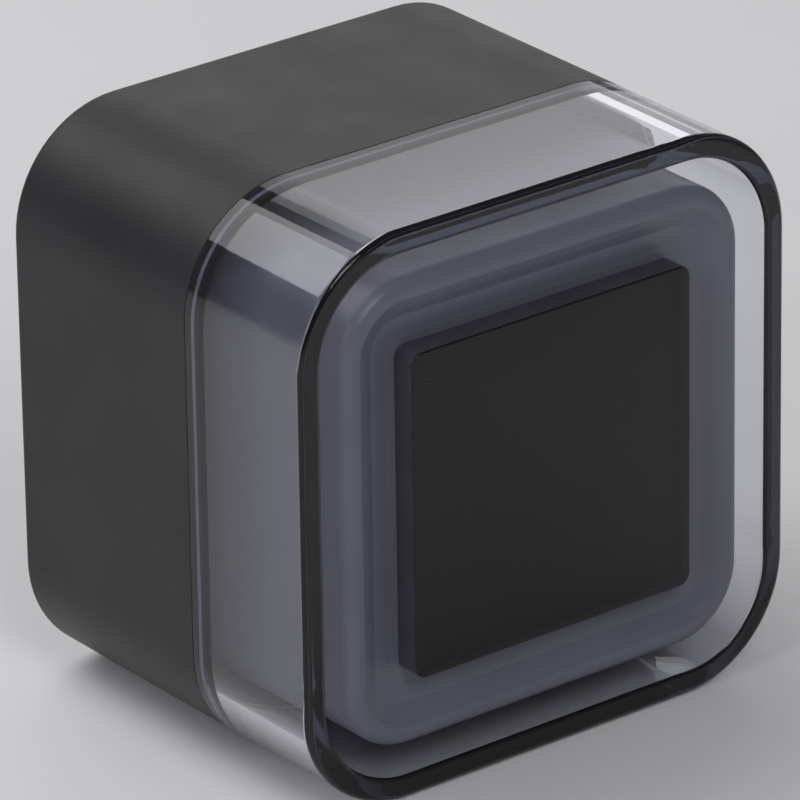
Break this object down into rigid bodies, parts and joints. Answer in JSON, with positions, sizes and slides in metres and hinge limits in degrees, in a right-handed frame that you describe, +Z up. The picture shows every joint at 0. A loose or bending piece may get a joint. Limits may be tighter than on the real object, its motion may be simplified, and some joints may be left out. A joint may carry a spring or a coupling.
{
  "type": "kitchen timer",
  "caption": "Cube-shaped digital kitchen timer: satin black housing, thick clear front ring around a gunmetal bezel, raised square display window, rear buttons and battery door.",
  "frame": {"origin": "centre of the flat bottom face that the timer stands on", "axes": "+Z up, the display faces -Y, +X to the right as seen from the front"},
  "size_m": [0.075, 0.059, 0.075],
  "materials": {
    "housing_plastic": "satin charcoal-black moulding with a very fine texture",
    "clear_acrylic": "thick polished acrylic with a light smoke tint",
    "gunmetal_plastic": "satin lilac-grey gunmetal paint on plastic",
    "window_acrylic": "dark smoked acrylic block, polished edges",
    "lcd_glass": "black glass of a negative LCD that is switched off",
    "white_plastic": "natural white moulding",
    "black_plastic": "satin black",
    "circuit_board": "green solder mask",
    "epoxy": "black epoxy dome",
    "steel": "zinc-plated",
    "nickel": "nickel-plated",
    "rubber": "matt grey conductive rubber",
    "cell_sleeve": "plain printed sleeve",
    "red_wire": "red insulation",
    "black_wire": "black insulation",
    "grey_ribbon": "grey ribbon cable"
  },
  "bodies": {
    "case": {"rear_housing": "housing_plastic", "front_ring": "clear_acrylic", "display_bezel": "gunmetal_plastic", "display_window": "window_acrylic", "lcd_panel": "lcd_glass", "lcd_holder": "white_plastic", "backlight_plate": "white_plastic", "backlight_led_left": "white_plastic", "backlight_led_right": "white_plastic", "minute_switch_body": "black_plastic", "start_switch_body": "black_plastic", "second_switch_body": "black_plastic", "battery_tub": "black_plastic", "buzzer": "black_plastic", "main_board": "circuit_board", "button_board": "circuit_board", "controller_chip": "epoxy", "case_screw_1": "steel", "case_screw_2": "steel", "case_screw_3": "steel", "case_screw_4": "steel", "board_screw_1": "steel", "board_screw_2": "steel", "board_screw_3": "steel", "board_screw_4": "steel", "button_board_screw_1": "steel", "button_board_screw_2": "steel", "tub_screw_1": "steel", "tub_screw_2": "steel", "crystal_can": "steel", "contact_plate_bridge": "nickel", "contact_plate_plus": "nickel", "contact_plate_minus": "nickel", "cell_spring_upper": "nickel", "cell_spring_lower": "nickel", "contact_strip_top": "rubber", "contact_strip_bottom": "rubber", "battery_cell_upper": "cell_sleeve", "battery_cell_lower": "cell_sleeve", "buzzer_wire_red": "red_wire", "battery_wire_red": "red_wire", "buzzer_wire_black": "black_wire", "battery_wire_black": "black_wire", "board_ribbon": "grey_ribbon"},
    "minute_button": {"minute_button": "black_plastic", "minute_switch_plunger": "white_plastic"},
    "start_button": {"start_button": "black_plastic", "start_switch_plunger": "white_plastic"},
    "second_button": {"second_button": "black_plastic", "second_switch_plunger": "white_plastic"},
    "battery_door": {"battery_door": "housing_plastic"}
  },
  "joints": [
    {"name": "minute_button_press", "type": "slide", "parent": "case", "child": "minute_button", "axis": [0, -1, 0], "range_m": [0, 0.0006], "stiffness_N_per_m": 400},
    {"name": "start_button_press", "type": "slide", "parent": "case", "child": "start_button", "axis": [0, -1, 0], "range_m": [0, 0.0006], "stiffness_N_per_m": 400},
    {"name": "second_button_press", "type": "slide", "parent": "case", "child": "second_button", "axis": [0, -1, 0], "range_m": [0, 0.0006], "stiffness_N_per_m": 400},
    {"name": "battery_door_pull", "type": "slide", "parent": "case", "child": "battery_door", "axis": [0, 1, 0], "range_m": [0, 0.03]}
  ]
}
